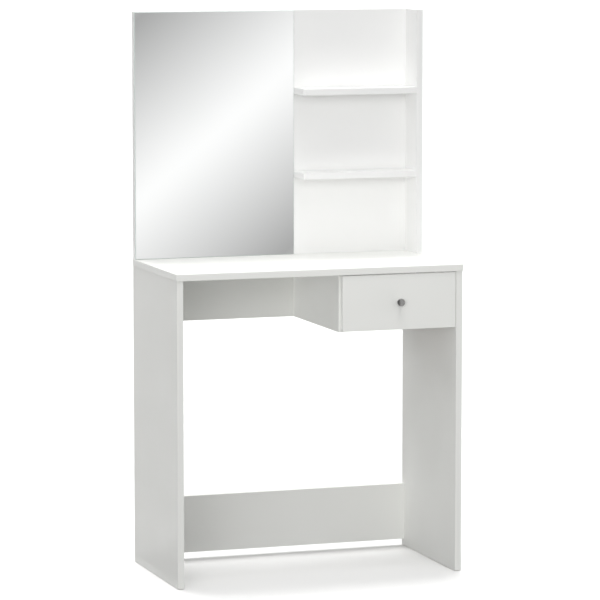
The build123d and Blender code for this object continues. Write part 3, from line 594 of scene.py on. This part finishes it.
def add_reflection_card():
    """A sheet with soft bands of light, upright and then along the floor, that only reflections show."""
    finish = Finish("card_light")
    away = cad_box[0].y - CARD_AWAY
    x, y, z = finish.parts(finish.place)
    inward = finish.math("MULTIPLY", finish.math("SUBTRACT", y, away), BAND_STRETCH)
    along = finish.math("SUBTRACT", z, inward)
    right = finish.math("MULTIPLY", finish.math("SUBTRACT", x, BAND_CENTRE[0]), math.sin(BAND_SLOPE))
    up = finish.math("MULTIPLY", finish.math("SUBTRACT", along, BAND_CENTRE[1]), math.cos(BAND_SLOPE))
    fade = finish.math("PINGPONG", finish.math("SUBTRACT", right, up), BAND_REACH)
    drop = finish.math("MULTIPLY", fade, (BAND_BRIGHT - BAND_DARK) / BAND_REACH)
    sharp = finish.math("SUBTRACT", BAND_BRIGHT, drop)
    rounded = finish.math("SMOOTH_MIN", sharp, BAND_CREST, BAND_ROUNDING)
    half, top = CARD_SIZE[0] / 2, CARD_SIZE[1]
    profile = ((away, top), (away, CARD_LIFT), (cad_box[1].y, CARD_LIFT))
    rows = [[(side, depth, height) for side in (-half, half)] for depth, height in profile]
    show_only(staged_sheet("reflection_card", rows, finish.glow(rounded)), camera=False)


def knob_shade_sheet():
    """A near-black sheet that paints shade into the knob's left side. It is clear to rays from farther off
    than the knob, such as the mirror's.
    """
    finish = Finish("knob_shade_sheet", specular=0.1)
    finish.complete(finish.blend(finish.noise(1 * MM), *FLAG_BLACKS), roughness=0.9)
    ray = finish.tree.nodes.new("ShaderNodeLightPath").outputs["Ray Length"]
    clear = finish.tree.nodes.new("ShaderNodeBsdfTransparent")
    mix = finish.tree.nodes.new("ShaderNodeMixShader")
    far = finish.math("GREATER_THAN", ray, FLAG_SEEN_WITHIN)
    for socket, given in zip(mix.inputs, (far, finish.shader.outputs[0], clear.outputs[0])):
        finish.join(given, socket)
    return finish.show(mix.outputs[0])


def add_knob_flag():
    """A dark upright sheet close to the knob's left side, for painted shade there."""
    low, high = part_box("drawer_knob")
    beside = low.x - FLAG_BESIDE
    middle = (low.z + high.z) / 2
    heights = (middle - FLAG_HALF_HEIGHT, middle + FLAG_HALF_HEIGHT)
    rows = [[(beside, depth, height) for depth in (high.y - FLAG_REACH, high.y)] for height in heights]
    show_only(staged_sheet("knob_flag", rows, knob_shade_sheet()), camera=False)


def hide_from_mirror():
    """Keep the table's own boards out of its mirror, which shows only the soft light in front of it."""
    for name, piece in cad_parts.items():
        piece.visible_glossy = name == "mirror_glass"


# ---------------------------------------------------------------- lights and camera


def direction(azimuth, elevation):
    """The direction from the model towards a place at an azimuth and an elevation in radians."""
    level = math.cos(elevation)
    return Vector((math.sin(azimuth) * level, -math.cos(azimuth) * level, math.sin(elevation)))


def place_item(name, data, place, backward):
    """Put a light or a camera in the scene, with a direction behind it."""
    item = bpy.data.objects.new(name, data)
    item.location = place
    item.rotation_mode = "QUATERNION"
    item.rotation_quaternion = backward.to_track_quat("Z", "Y")
    bpy.context.scene.collection.objects.link(item)
    return item


def add_lights():
    """Soft suns, low and high, from the front and from the back, and a lamp for the shelves."""
    for name, sun in SUNS.items():
        light = bpy.data.lights.new(name, "SUN")
        light.energy = sun.strength
        light.angle = math.radians(sun.width)
        place_item(name, light, Vector(), direction(math.radians(sun.azimuth), math.radians(sun.elevation)))
    panel = bpy.data.lights.new("shelf_lamp", "AREA")
    panel.energy = LAMP_POWER
    panel.size = LAMP_SIZE
    panel.spread = LAMP_SPREAD
    lamp = place_item("shelf_lamp", panel, LAMP_PLACE, LAMP_PLACE - LAMP_AIM)
    lamp.visible_glossy = False


def add_room():
    """Even light from all round, most of it from above."""
    world = bpy.data.worlds.new("studio")
    bpy.context.scene.world = world
    world.use_nodes = True
    tree = world.node_tree
    place = tree.nodes.new("ShaderNodeTexCoord")
    height = tree.nodes.new("ShaderNodeSeparateXYZ")
    above = tree.nodes.new("ShaderNodeMath")
    above.operation = "GREATER_THAN"
    above.inputs[1].default_value = 0.0
    glow = tree.nodes.new("ShaderNodeMapRange")
    glow.inputs["To Min"].default_value = ROOM_BELOW
    glow.inputs["To Max"].default_value = ROOM_ABOVE
    background = tree.nodes["Background"]
    background.inputs["Color"].default_value = (1, 1, 1, 1)
    tree.links.new(place.outputs["Generated"], height.inputs[0])
    tree.links.new(height.outputs[2], above.inputs[0])
    tree.links.new(above.outputs[0], glow.inputs[0])
    tree.links.new(glow.outputs[0], background.inputs["Strength"])


def add_camera():
    """A long lens, to the left of the front and a little above."""
    low, high = cad_box
    aim = Vector(((low.x + high.x) / 2 + AIM_RIGHT, (low.y + high.y) / 2, low.z + AIM_UP))
    back = direction(CAMERA_AZIMUTH, CAMERA_ELEVATION)
    data = bpy.data.cameras.new("camera")
    data.lens = CAMERA_LENS
    data.sensor_width = CAMERA_SENSOR
    data.clip_end = CAMERA_REACH
    bpy.context.scene.camera = place_item("camera", data, aim + back * CAMERA_DISTANCE, back)


def set_colours():
    """Plain sRGB, so that a white surface in full light comes out white."""
    bpy.context.scene.view_settings.view_transform = "Standard"
    bpy.context.scene.view_settings.look = "None"


add_camera()
add_lights()
add_room()
set_colours()
add_floor()
add_backdrop()
add_reflection_card()
add_knob_flag()
dress_cad_nodes()
hide_from_mirror()
